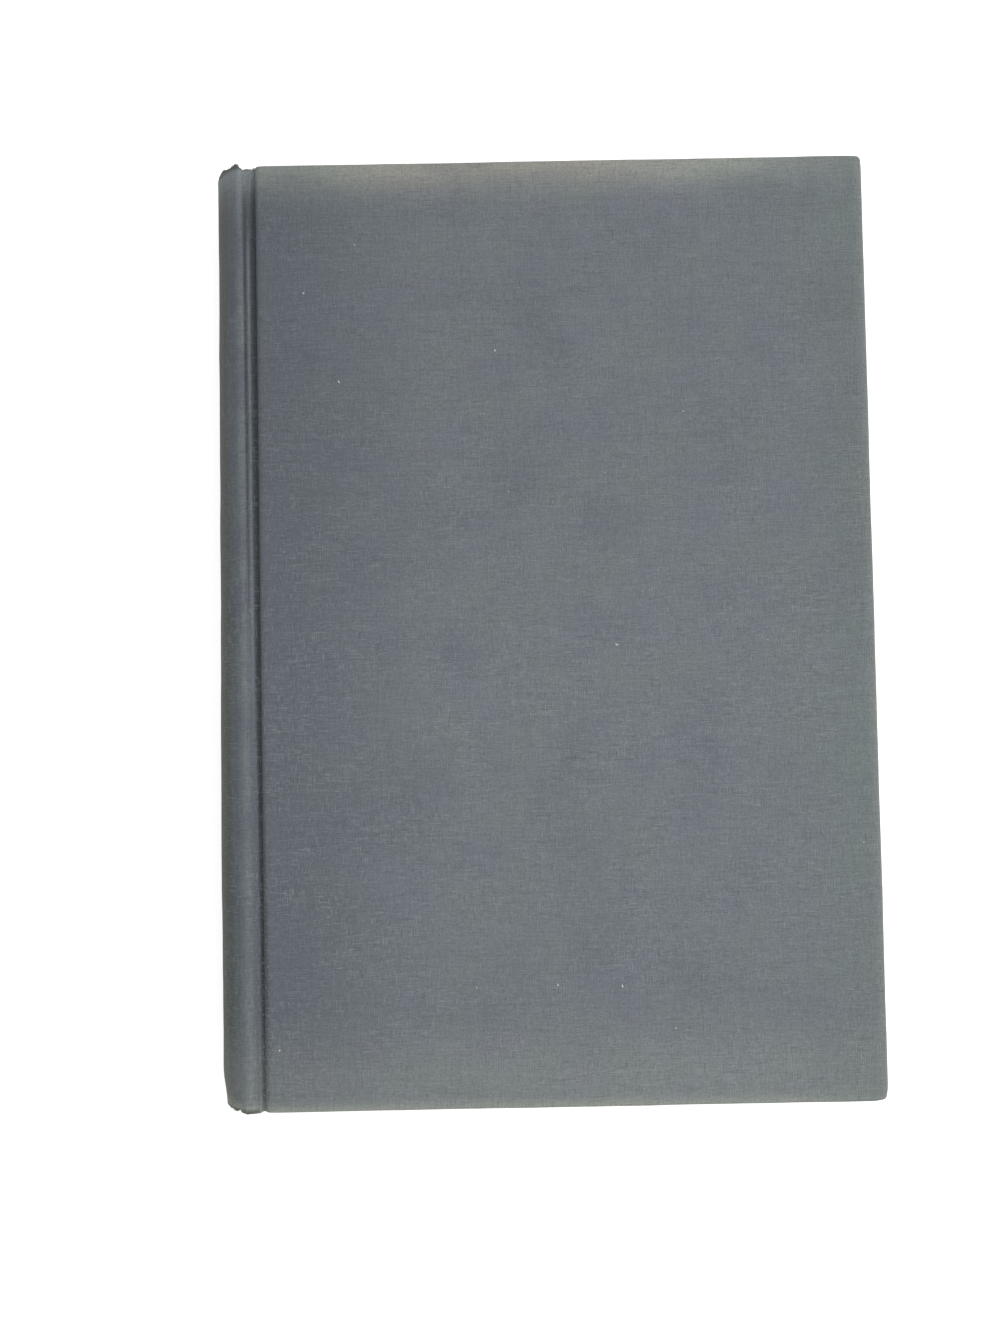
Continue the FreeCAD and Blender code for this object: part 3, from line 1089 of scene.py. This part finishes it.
@dataclass
class SpineCloth:
    """The cloth round the spine with its shoulders, joint grooves and worn, proud caps."""

    head_cap: float = 1.5
    tail_cap: float = 0.85
    tail_bulge: float = 0.95
    tuck_depth: tuple[float, float] = (1.2, 0.8)
    tuck_rise: tuple[float, float] = (0.48, 0.40)
    fold_out: tuple[float, float] = (0.42, 0.06)
    foot_round: float = 0.6
    crease_x: float = -73.15
    ridge_x: float = -72.35

    def half_line(self) -> Surfaces:
        """The front half of the cloth's line across the book, with its normals.

        It runs up an arc from the groove's floor, along the straight flank, over the crest's
        arc, and down the round to the middle of the spine.

        Returns:
            The line's points and its normals, both as X and Z.
        """
        book = BOOK
        arcs = (
            np.linspace(270, 270 - book.flank_angle, 9),
            np.linspace(90 - book.flank_angle, 180 - book.round_angle, 13),
            np.linspace(180 - book.round_angle, 180, 30)[1:],
        )
        groove_at, crest_at, round_at = (
            np.stack([np.cos(arc), np.sin(arc)], -1) for arc in map(np.radians, arcs)
        )
        start = [book.spine_foot_x, book.groove_z + self.foot_round] + self.foot_round * groove_at
        top = np.array([book.crest_x, book.crest_z]) + book.crest_radius * crest_at
        back = np.array([book.round_x, book.middle_z]) + book.round_radius * round_at
        share = np.linspace(0, 1, 26)[1:-1, None]
        flank = start[-1] + (top[0] - start[-1]) * share
        line = np.concatenate([start, flank, top, back])
        normal = np.concatenate([-groove_at, flank * 0 + crest_at[0], crest_at, round_at])
        return line, normal

    def line(self) -> tuple[np.ndarray, np.ndarray, np.ndarray]:
        """The whole line from the front joint to the back joint, its normals and which half.

        Returns:
            The points, the normals, and 1 for the front half and -1 for the back half.
        """
        line, normal = self.half_line()
        low = line[-2::-1].copy()
        low[:, 1] = BOOK.thickness - low[:, 1]
        low_normal = normal[-2::-1] * [1, -1]
        half = np.concatenate([np.ones(len(line)), -np.ones(len(low))])
        return np.concatenate([line, low]), np.concatenate([normal, low_normal]), half

    def relief(self, x: np.ndarray, y: np.ndarray, half: np.ndarray) -> np.ndarray:
        """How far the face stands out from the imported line, along its normal, in millimetres.

        A second thin crease runs beside the groove from the head and fades below the middle,
        with a low ridge between the two. The groove fills towards the tail, the round swells
        towards the tail, and all of it wanders a little.

        Args:
            x: The line's places along X.
            y: The places along Y.
            half: 1 for the front half and -1 for the back half.

        Returns:
            The height of the relief.
        """
        down = BOOK.cover_end - y
        run = 1 - smooth_step(down, 75, 160)
        start = smooth_step(down, 3, 12)
        thin = np.where(half > 0, 1.0, 0.6)
        shift = 0.12 * wander(y, 21, 140.0)
        crease = 0.42 * bump_at(x, self.ridge_x + shift, 0.42)
        crease = (crease - 0.50 * bump_at(x, self.crease_x + shift, 0.28)) * run * start * thin
        fill = 0.30 * bump_at(x, -71.9, 0.75) * smooth_step(down, 150, 225)
        side = smooth_step(-x, 74.6, 80.5)
        swell = (self.tail_bulge * smooth_step(down, 10, 205) - 0.18) * side
        tuck = -0.75 * side * smooth_step(down, 226, 235)
        loose = 0.10 * side * wander(y, 23, 90.0) + 0.05 * wander(y, 24, 26.0) * side
        still = smooth_step(-x, 70.75, 71.1)
        return (crease + fill + swell + tuck + loose) * still

    def cap(self, x: np.ndarray, end: int, half: np.ndarray) -> np.ndarray:
        """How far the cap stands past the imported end, for the head (1) or the tail (-1).

        Args:
            x: The line's places along X.
            end: The head (1) or the tail (-1).
            half: 1 for the front half and -1 for the back half.

        Returns:
            The rise, in millimetres.
        """
        worn = np.where(half > 0, 1.0, 0.85)
        if end > 0:
            rise = self.head_cap * smooth_step(-x, 74.9, 80.5) - 0.1
            tuft = np.exp(-(((x + 75.6) / 1.2) ** 4))
            rise = rise + worn * (0.9 * tuft - 0.28 * bump_at(x, -73.3, 0.4))
            rise = rise - 0.9 * smooth_step(-x, 79.0, 82.0)
            return rise + 0.10 * wander(x * 3 + half * 9, 31, 9.0)
        rise = 0.45 * smooth_step(-x, 70.3, 72.0) - 1.0 * worn * smooth_step(-x, 76.4, 77.3)
        rise = rise + self.tail_cap * smooth_step(-x, 77.4, 78.0)
        return rise + 0.10 * wander(x * 3 + half * 9, 33, 9.0)

    def build(self, material: Material) -> Object:
        """Carries the doubled end section of the cloth along its line round the spine.

        The cloth's own path runs from the edge of one turn-in out to the cap, round its fold,
        along the outside to the other cap and in again. Each point lies at a depth under the
        line, and a place along Y that the cap's rise stretches near the ends.

        Args:
            material: The finish.

        Returns:
            The new piece.
        """
        book = BOOK
        line, normal, half = self.line()
        x = line[:, 0]
        joint = smooth_step(x, -75.4, -74.0)
        in_face, in_back = (
            deep - rise * joint for deep, rise in zip(self.tuck_depth, self.tuck_rise)
        )
        tuck = np.linspace(book.window_end, book.board_end, 7)[:-1]
        fold = np.linspace(0, np.pi, 9)
        near = book.board_end - np.geomspace(0.25, 14, 16)
        run = np.concatenate([near, np.linspace(near[-1], 0, 28)[1:]])
        one, nil = np.ones_like, np.zeros_like
        base = np.concatenate([tuck, fold * 0 + book.board_end, run])[:, None]
        bow = np.concatenate([nil(tuck), np.sin(fold), nil(run)])[:, None]
        inner = np.concatenate([one(tuck), (1 + np.cos(fold)) / 2, nil(run)])[:, None]
        face_depth = in_face * inner
        back_depth = book.cloth + (in_back - book.cloth) * inner
        face_y, back_y = (base + out * bow for out in self.fold_out)
        sheets = []
        for depth, y in ((face_depth, face_y), (back_depth, back_y)):
            ends = []
            for end in (1, -1):
                stretch = smooth_step(y, 96.0, book.board_end) * self.cap(x, end, half)
                at_y = end * (y + stretch)
                lift = self.relief(x, at_y, half) - depth
                place = line + normal * lift[..., None]
                floor = (1 - smooth_step(-x, 71.3, 72.7)) * half
                place[..., 1] += groove_rise(at_y) * floor * np.clip(1 - depth / 0.35, 0, 1)
                at_y = np.broadcast_to(at_y, lift.shape)
                ends.append(np.stack([place[..., 0], at_y, place[..., 1]], -1))
            sheets.append(np.concatenate([ends[0], ends[1][-2::-1]]))
        shape = thickened(tuple(sheets))
        return piece(
            "spine_bookcloth", shape, material, "book_block", ("spine_cloth",)
        )


@dataclass
class JointCloth:
    """The few threads of cloth between the spine's edge and a cover's foot."""

    side: Side
    face: tuple = ((-71.0, 26.34), (-70.125, 26.20))
    lining: tuple = ((-70.63, 25.78), (-70.52, 25.78))
    bend_x: tuple[float, float] = (-70.60, -70.55)

    def build(self, material: Material) -> Object:
        """A flat strip that lies in the groove's floor.

        Args:
            material: The finish.

        Returns:
            The new piece.
        """
        y = np.linspace(-BOOK.cover_end + 0.02, BOOK.cover_end - 0.02, 60)
        grids = []
        for pair, filled in ((self.face, 1.0), (self.lining, 0.0)):
            x, z = np.array(pair).T[..., None]
            grid = np.broadcast_arrays(x, y, z + filled * groove_rise(y))
            grids.append(np.stack(grid, -1))
        shape = on_side(self.side, thickened(tuple(grids)))
        made = piece(f"{self.side.value}_joint_cloth", shape, material, None)
        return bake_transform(made)


@dataclass
class Endpaper:
    """One folded endpaper: the free leaf, its fold in the joint and the pasted leaf."""

    side: Side
    paper: float = 0.18
    flap_x: float = -44.85
    flap_end: float = 99.95
    window_x: float = 67.05
    bend_z: tuple[float, float] = (25.455, 25.525)

    def lift(self, x: np.ndarray, y: np.ndarray) -> np.ndarray:
        """How far the pasted leaf sinks into the window between the turn-ins, less the gauze.

        Args:
            x: Places along X.
            y: Places along Y.

        Returns:
            The depth, in millimetres.
        """
        over = np.maximum(step_at(x, self.window_x), step_at(np.abs(y), BOOK.window_end - 0.05))
        flange = step_at(-x, -self.flap_x) * (1 - step_at(np.abs(y), self.flap_end))
        flange = np.maximum(flange, smooth_step(-x, 67.0, 69.0))
        cockle = 0.02 * wander(x + 0.6 * y, 41, 48.0) + 0.02 * wander(y - 0.4 * x, 42, 37.0)
        return (1 - over) * (0.37 - 0.25 * flange + cockle)

    def build(self, material: Material) -> Object:
        """Lays the sheet's two surfaces along its path and gives it the paper's thickness.

        Args:
            material: The finish.

        Returns:
            The new piece.
        """
        book = BOOK
        close = np.linspace(-0.65, 0.65, 7)
        steps = [self.window_x + close, self.flap_x + close]
        steps += [np.linspace(-70.3, book.leaf_fore_x, 70)]
        x = np.unique(np.concatenate(steps).round(4))
        marks = [book.window_end - 0.05 + close, np.linspace(99.3, 100.6, 6)]
        marks += [np.linspace(0, book.page_end, 26)]
        y = np.unique(np.concatenate([*marks, *(-m for m in marks)]).round(4))
        free_x = np.concatenate([x[::-1], [0]])
        pasted_x = np.concatenate([[0], x])
        free = {"reader": (-70.44, book.leaf_top), "glue": (-70.62, book.pages_top)}
        pasted = {"reader": (-70.80, book.pastedown_in + 0.02), "glue": (-70.60, book.turn_in_face)}
        grids = []
        for face in ("reader", "glue"):
            leaf, board = free_x.copy(), pasted_x.copy()
            leaf[-1], board[0] = free[face][0], pasted[face][0]
            leaf_x, leaf_y = np.meshgrid(leaf, y, indexing="ij")
            board_x, board_y = np.meshgrid(board, y, indexing="ij")
            shift = self.paper if face == "glue" else 0.0
            board_z = book.pastedown_in + shift + self.lift(board_x, board_y)
            board_z[0] = pasted[face][1]
            low = np.stack([leaf_x, leaf_y, leaf_x * 0 + free[face][1]], -1)
            grids.append(np.concatenate([low, np.stack([board_x, board_y, board_z], -1)]))
        shape = on_side(self.side, thickened(tuple(grids)))
        name = self.side.value
        replaced = (f"{name}_flyleaf", f"{name}_pastedown")
        made = piece(f"{name}_endpaper", shape, material, None, replaced)
        low, high = self.bend_z
        if self.side is Side.BACK:
            low, high = book.thickness - low, book.thickness - high
        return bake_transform(made)


@dataclass
class PageBlock:
    """All the leaves: a hollow fore-edge, a rounded back with shoulders, and uneven cut edges."""

    leaves: int = 118
    uneven: float = 0.05
    gap: float = 0.06
    back_inset: float = 1.95
    back_half: float = 11.74
    hollow: float = 6.7

    def stack(self) -> tuple[np.ndarray, dict[str, np.ndarray]]:
        """Heights through the stack from -1 to 1, and how far each leaf stands out.

        Each leaf has a straight cut edge between two shallow gaps, and its own small offset.

        Returns:
            The heights, and the offsets of the fore-edge, the head and the tail by name.
        """
        draw = np.random.default_rng(51)
        part = np.array([0.0, 0.16, 0.84])
        at = (np.arange(self.leaves)[:, None] + part).ravel() / self.leaves
        at = np.concatenate([at, [1.0]]) * 2 - 1
        offsets = {}
        for name in ("fore", "head", "tail"):
            own = draw.normal(0, self.uneven * 0.45, self.leaves)
            group = np.repeat(draw.normal(0, self.uneven * 0.8, self.leaves // 8 + 1), 8)
            edge = (own + group[: self.leaves])[:, None] + np.array([-self.gap, 0, 0])
            offsets[name] = np.concatenate([edge.ravel(), edge.ravel()[:1] * 0])
            offsets[name][[0, -1]] = 0
        return at, offsets

    def build(self, material: Material) -> Object:
        """Six faces of a box whose width, height and length are bent to the book's shape.

        Across the book a leaf runs from the round back, over the shoulder, to the hollow
        fore-edge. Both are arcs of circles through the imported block's corners.

        Args:
            material: The finish.

        Returns:
            The new piece.
        """
        book = BOOK
        stack, offsets = self.stack()
        half_stack = book.pages_top - book.middle_z
        back_radius, tip = book.round_radius - self.back_inset, self.back_half
        fore_radius = (half_stack**2 + self.hollow**2) / (2 * self.hollow)
        fore_middle = book.leaf_fore_x - self.hollow + fore_radius
        across = np.concatenate([np.linspace(0, 1, 6)[:-1], np.linspace(1, 2, 14)])
        along = np.linspace(-1, 1, 9)

        def bent(u: np.ndarray, q: np.ndarray, v: np.ndarray, rank: np.ndarray) -> np.ndarray:
            """Points of the block: u across from back to fore-edge, q up the stack, v along.

            Args:
                u: 0 at the back, 1 at the fold and 2 at the fore-edge.
                q: -1 to 1 up the stack.
                v: -1 at the tail to 1 at the head.
                rank: The place in the stack's list.

            Returns:
                The points, in millimetres.
            """
            start = book.round_x - np.sqrt(back_radius**2 - (tip * q) ** 2)
            end = fore_middle - np.sqrt(fore_radius**2 - (half_stack * q) ** 2)
            fold = book.spine_foot_x
            x = np.where(u < 1, start + (fold - start) * u, fold + (end - fold) * (u - 1))
            x = x + offsets["fore"][rank] * smooth_step(u, 1.9, 2.0)
            fan = np.clip(1 - u, 0, 1)
            z = book.middle_z + q * (half_stack + (tip - half_stack) * fan)
            edge = np.where(v > 0, offsets["head"][rank], offsets["tail"][rank])
            y = v * book.page_end + np.sign(v) * edge * smooth_step(np.abs(v), 0.95, 1.0)
            return np.stack([x, y, z], -1)

        rank = np.arange(len(stack))
        grids = []
        for u, flip in ((across[0], True), (across[-1], False)):
            q, v = np.meshgrid(rank, along, indexing="ij")
            grids.append((bent(u + 0.0 * v, stack[q], v, q), flip))
        for v, flip in ((-1.0, False), (1.0, True)):
            q, u = np.meshgrid(rank, across, indexing="ij")
            grids.append((bent(u, stack[q], v + 0.0 * u, q), flip))
        for k, flip in ((0, True), (len(stack) - 1, False)):
            v, u = np.meshgrid(along, across, indexing="ij")
            rank_k = np.full(u.shape, k)
            grids.append((bent(u, stack[rank_k], v, rank_k), flip))
        turned = [grid[:, ::-1] if flip else grid for grid, flip in grids]
        points, triangles = welded(*joined(turned))
        shape = points, outward(points, triangles)
        return piece("page_block", shape, material, "book_block", ("text_block",), 75)


@dataclass
class Band:
    """A corded band: a bead of wound thread at the pages' end, and its tail down their back."""

    end: int
    bead: float = 0.9
    wraps: int = 52
    half_angle: float = 50.7
    depths: tuple[float, float] = (1.7, 1.95)

    def build(self, material: Material) -> Object:
        """A tube along an arc, thicker at each wrap of thread, and a thin strip behind it.

        Radius of the tube: the bead's, times 0.93 plus 0.07 of the absolute sine of the wraps.

        Args:
            material: The finish.

        Returns:
            The new piece.
        """
        book = BOOK
        spread = np.linspace(-self.half_angle, self.half_angle, self.wraps * 4)
        angle = np.radians(180 + spread)
        reach = book.round_radius - self.depths[0] - self.bead
        bead_y = self.end * (book.page_end + self.bead + 0.02)
        x, z = book.round_x + reach * np.cos(angle), book.middle_z + reach * np.sin(angle)
        wave = np.abs(np.sin(np.linspace(0, np.pi * self.wraps, len(angle))))
        line = np.stack([x, x * 0 + bead_y, z], -1)
        bead = tube(line, self.bead * (0.93 + 0.07 * wave), 12)
        turn, y = np.meshgrid(angle[::4], np.array([book.page_end - 9.0, book.page_end + 0.9]))
        strip = []
        for depth in self.depths:
            r = book.round_radius - depth
            at = [book.round_x + r * np.cos(turn), self.end * y, book.middle_z + r * np.sin(turn)]
            strip.append(np.stack(at, -1))
        shape = gathered([bead, thickened(tuple(strip))])
        name = "head_band" if self.end > 0 else "tail_band"
        return piece("wound_" + name, shape, material, "book_block", (name,))


@dataclass
class LooseThreads:
    """Frayed ends of warp and weft along the worn folds of the caps.

    A tuft is its cap, head (1) or tail (-1), its middle and spread along X, its number of
    threads, and their usual length.
    """

    seed: int = 61
    tufts: tuple[tuple[int, float, float, int, float], ...] = (
        (1, -75.6, 0.55, 64, 0.45), (1, -76.6, 1.5, 26, 0.40), (1, -80.5, 1.2, 20, 0.40),
        (-1, -78.4, 0.7, 26, 0.40), (-1, -74.0, 1.5, 40, 0.35), (-1, -71.6, 0.8, 20, 0.35),
    )
    on_front: float = 0.6

    def build(self, material: Material, spine: SpineCloth) -> Object:
        """Short bent threads that start in a cap's fold and lean out of it.

        Most stand in one tuft on the head cap beside the shoulder and in a tab on the tail
        cap; the rest are spread thinly. A thread is a parabola: it leaves the fold along Y and
        bends aside with the square of the way along it.

        Args:
            material: The finish.
            spine: The spine's cloth, whose line and caps they start from.

        Returns:
            The new piece.
        """
        draw = np.random.default_rng(self.seed)
        line, normal, half = spine.line()
        shapes = []
        t = np.linspace(0, 1, 6)
        for end, centre, spread, count, length in self.tufts:
            for _ in range(count):
                side = 1 if draw.random() < self.on_front else -1
                away = np.abs(line[:, 0] - draw.normal(centre, spread))
                at = np.argmin(np.where(half == side, away, np.inf))
                depth = draw.uniform(0.1, 0.9)
                foot_y = BOOK.board_end + 0.3 + spine.cap(line[[at], 0], end, half[[at]])[0]
                long = length * draw.uniform(0.45, 1.2)
                lean = draw.normal(0, 0.45, 2)
                x, z = (line[at] - normal[at] * depth)[:, None] + lean[:, None] * t**2 * long
                way = np.stack([x, end * (foot_y - 0.35 + t * (long + 0.25)), z], -1)
                shapes.append(tube(way, draw.uniform(0.055, 0.10) * (1 - 0.55 * t), 5))
        return piece("frayed_cap_threads", gathered(shapes), material, "book_block")


@dataclass
class SurfaceLint:
    """Specks of white fluff on the front cover, and slubs: thick threads in the weave."""

    seed: int = 71
    specks: tuple[tuple[float, float, float], ...] = (
        (-58.3, 84.8, 0.30), (-49.8, 62.3, 0.36), (-45.3, 96.8, 0.20), (-10.8, 69.5, 0.30),
        (-8.0, 34.0, 0.22), (16.0, 38.3, 0.20), (18.0, -4.5, 0.42), (55.4, -4.0, 0.20),
        (-18.1, -88.0, 0.24), (1.7, -87.7, 0.34), (17.5, -88.3, 0.36), (30.4, -98.7, 0.24),
        (-66.6, -102.3, 0.34), (77.7, -54.3, 0.22), (35.9, 53.3, 0.22), (-64.0, 20.0, 0.18),
    )

    def lint(self, material: Material) -> Object:
        """Each speck is two or three short curled fibres that lie on the cloth.

        Args:
            material: The finish.

        Returns:
            The new piece.
        """
        draw = np.random.default_rng(self.seed)
        shapes = []
        for x, y, size in self.specks:
            for _ in range(3):
                turn, t = draw.uniform(0, np.pi), np.linspace(-1, 1, 7)
                curl = draw.uniform(-0.6, 0.6) * t**2
                along, aside = size * t, size * curl
                at_x = x + along * np.cos(turn) - aside * np.sin(turn)
                at_y = y + along * np.sin(turn) + aside * np.cos(turn)
                at_z = BOOK.cover_out + 0.06 + 0.05 * (1 - t**2)
                line = np.stack([at_x, at_y, at_z], -1)
                shapes.append(tube(line, (0.035 + 0.25 * size) * np.sqrt(1.05 - t**2) * 0.8, 6))
        return piece("lint_specks", gathered(shapes), material, "front_cover")

    def slubs(self, material: Material, side: Side, count: int = 46) -> Object:
        """Long flat swellings of single threads, most of them across the book.

        The width swells with the sine of the way along, and the thread wanders by less than
        half its width.

        Args:
            material: The finish.
            side: The cover that they are on.
            count: How many there are.

        Returns:
            The new piece.
        """
        draw = np.random.default_rng(self.seed + (1 if side is Side.FRONT else 2))
        shapes = []
        for _ in range(count):
            across = draw.random() < 0.7
            long = draw.uniform(3.0, 13.0)
            middle = draw.uniform((-62, -108), (74, 108))
            t = np.linspace(0, 1, 12)
            run = (t - 0.5) * long
            aside = 0.05 * wander(run, int(draw.integers(1e6)), 5.0, 3)
            x, y = (run, aside) if across else (aside, run)
            line = np.stack([middle[0] + x, middle[1] + y, t * 0 + BOOK.cover_out - 0.075], -1)
            shapes.append(tube(line, 0.03 + 0.085 * np.sin(np.pi * t) ** 0.7, 6))
        shape = on_side(side, gathered(shapes))
        return piece(f"{side.value}_slubs", shape, material, f"{side.value}_cover")


@dataclass
class Studio:
    """White floor, soft light and the camera almost straight above the book."""

    lens: float = 36.42
    camera_at: tuple[float, float, float] = (-0.01156, -0.02239, 0.36207)
    camera_turn: tuple[float, float, float] = (2.234, -0.064, -1.077)
    floor_half: float = 1.6
    floor_z: float = -0.0002
    floor_white: float = 0.80
    floor_lift: float = 0.60
    sky: float = 0.48

    def floor(self) -> None:
        """A white sheet under the book, which keeps its shadow and shows as white to the eye."""
        mesh = bpy.data.meshes.new("floor")
        corners = np.array([(-1, -1), (1, -1), (1, 1), (-1, 1)]) * self.floor_half
        corners = [(x, y, self.floor_z) for x, y in corners.tolist()]
        mesh.from_pydata(corners, [], [(0, 1, 2, 3)])
        ground = bpy.data.objects.new("floor", mesh)
        bpy.context.scene.collection.objects.link(ground)
        nodes = Nodes("white_floor")
        tree, shader = nodes.tree, nodes.shader
        nodes.finish((self.floor_white,) * 3 + (1.0,), 0.95, Specular_IOR_Level=0.0)
        path = tree.nodes.new("ShaderNodeLightPath")
        seen = nodes.math("MAXIMUM", path.outputs["Is Camera Ray"], path.outputs["Is Glossy Ray"])
        seen = nodes.math("MAXIMUM", seen, path.outputs["Is Transmission Ray"])
        nodes.feed(shader.inputs["Emission Color"], (1.0, 1.0, 1.0, 1.0))
        nodes.feed(shader.inputs["Emission Strength"], nodes.times(seen, self.floor_lift))
        mesh.materials.append(nodes.material)

    def world(self) -> None:
        """Even white light from all round, seen as plain white."""
        world = bpy.data.worlds.new("white_room")
        bpy.context.scene.world = world
        world.use_nodes = True
        tree = world.node_tree
        ground = tree.nodes["Background"]
        ground.inputs["Color"].default_value = (1.0, 1.0, 1.0, 1.0)
        path = tree.nodes.new("ShaderNodeLightPath")
        blend = tree.nodes.new("ShaderNodeMapRange")
        blend.inputs["To Min"].default_value = self.sky
        blend.inputs["To Max"].default_value = 1.0
        tree.links.new(path.outputs["Is Camera Ray"], blend.inputs["Value"])
        tree.links.new(blend.outputs[0], ground.inputs["Strength"])

    def lamp(self, name: str, at: tuple, size: float, power: float) -> None:
        """A square soft lamp that faces the book.

        Args:
            name: The lamp's name.
            at: Where it hangs, in metres.
            size: The side of the square, in metres.
            power: Its power in watts.
        """
        light = bpy.data.lights.new(name, "AREA")
        light.size, light.energy = size, power
        lamp = bpy.data.objects.new(name, light)
        turn = np.array([0.0, 0.0, 0.01]) - np.array(at)
        flat = math.hypot(turn[0], turn[1])
        lamp.location = at
        lamp.rotation_euler = (math.atan2(flat, -turn[2]), 0, math.atan2(-turn[0], turn[1]))
        bpy.context.scene.collection.objects.link(lamp)

    def camera(self) -> None:
        """The eye, at the place and turn that bring the cover's outline to where it is seen."""
        lens = bpy.data.cameras.new("camera")
        lens.lens, lens.sensor_width, lens.sensor_fit = self.lens, 36.0, "AUTO"
        lens.clip_start, lens.clip_end = 0.01, 20
        eye = bpy.data.objects.new("camera", lens)
        eye.location = self.camera_at
        eye.rotation_euler = [math.radians(turn) for turn in self.camera_turn]
        bpy.context.scene.collection.objects.link(eye)
        bpy.context.scene.camera = eye

    def build(self) -> None:
        """Sets up floor, world, lamps, camera and the colour view."""
        self.floor()
        self.world()
        self.lamp("window_side", (0.75, 0.10, 0.85), 0.7, 6.0)
        self.lamp("ceiling", (0.10, 0.05, 1.5), 1.0, 5.0)
        self.camera()
        bpy.context.scene.view_settings.view_transform = "Standard"


def dress_packed_nodes() -> None:
    """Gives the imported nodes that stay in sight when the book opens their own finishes."""
    linings = Linings()
    finishes = {
        linings.board(): ("front_board", "back_board"),
        linings.gauze(): ("spine_mull", "front_mull_flap", "back_mull_flap"),
        linings.spine_paper(): ("spine_lining",),
        linings.card(): ("spine_inlay",),
    }
    for material, names in finishes.items():
        for name in names:
            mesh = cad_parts[name].data
            mesh.materials.clear()
            mesh.materials.append(material)
            log.info("%s dressed with %s", name, material.name)


def main() -> None:
    """Builds every piece of the book in order, then the studio."""
    logging.basicConfig(level=logging.INFO, format="%(name)s: %(message)s")
    dress_packed_nodes()
    cloth = Bookcloth()
    cover_weave = cloth.make("cover_bookcloth", Weave.COVER)
    spine_weave = cloth.make("spine_bookcloth", Weave.SPINE)
    paper = Paper()
    endpaper = paper.endpaper()
    PageBlock().build(paper.page_edges())
    thread = Linings().band()
    for end in (1, -1):
        Band(end).build(thread)
    spine = SpineCloth()
    spine_cloth = spine.build(spine_weave)
    on_spine = [LooseThreads().build(spine_weave, spine)]
    lint = SurfaceLint()
    for side in Side:
        cover_cloth = CoverCloth(side).build(cover_weave)
        on_spine.append(JointCloth(side).build(spine_weave))
        Endpaper(side).build(endpaper)
        slubs = lint.slubs(cover_weave, side)
    lint.lint(Lint().make())
    Studio().build()


if __name__ == "__main__":
    main()
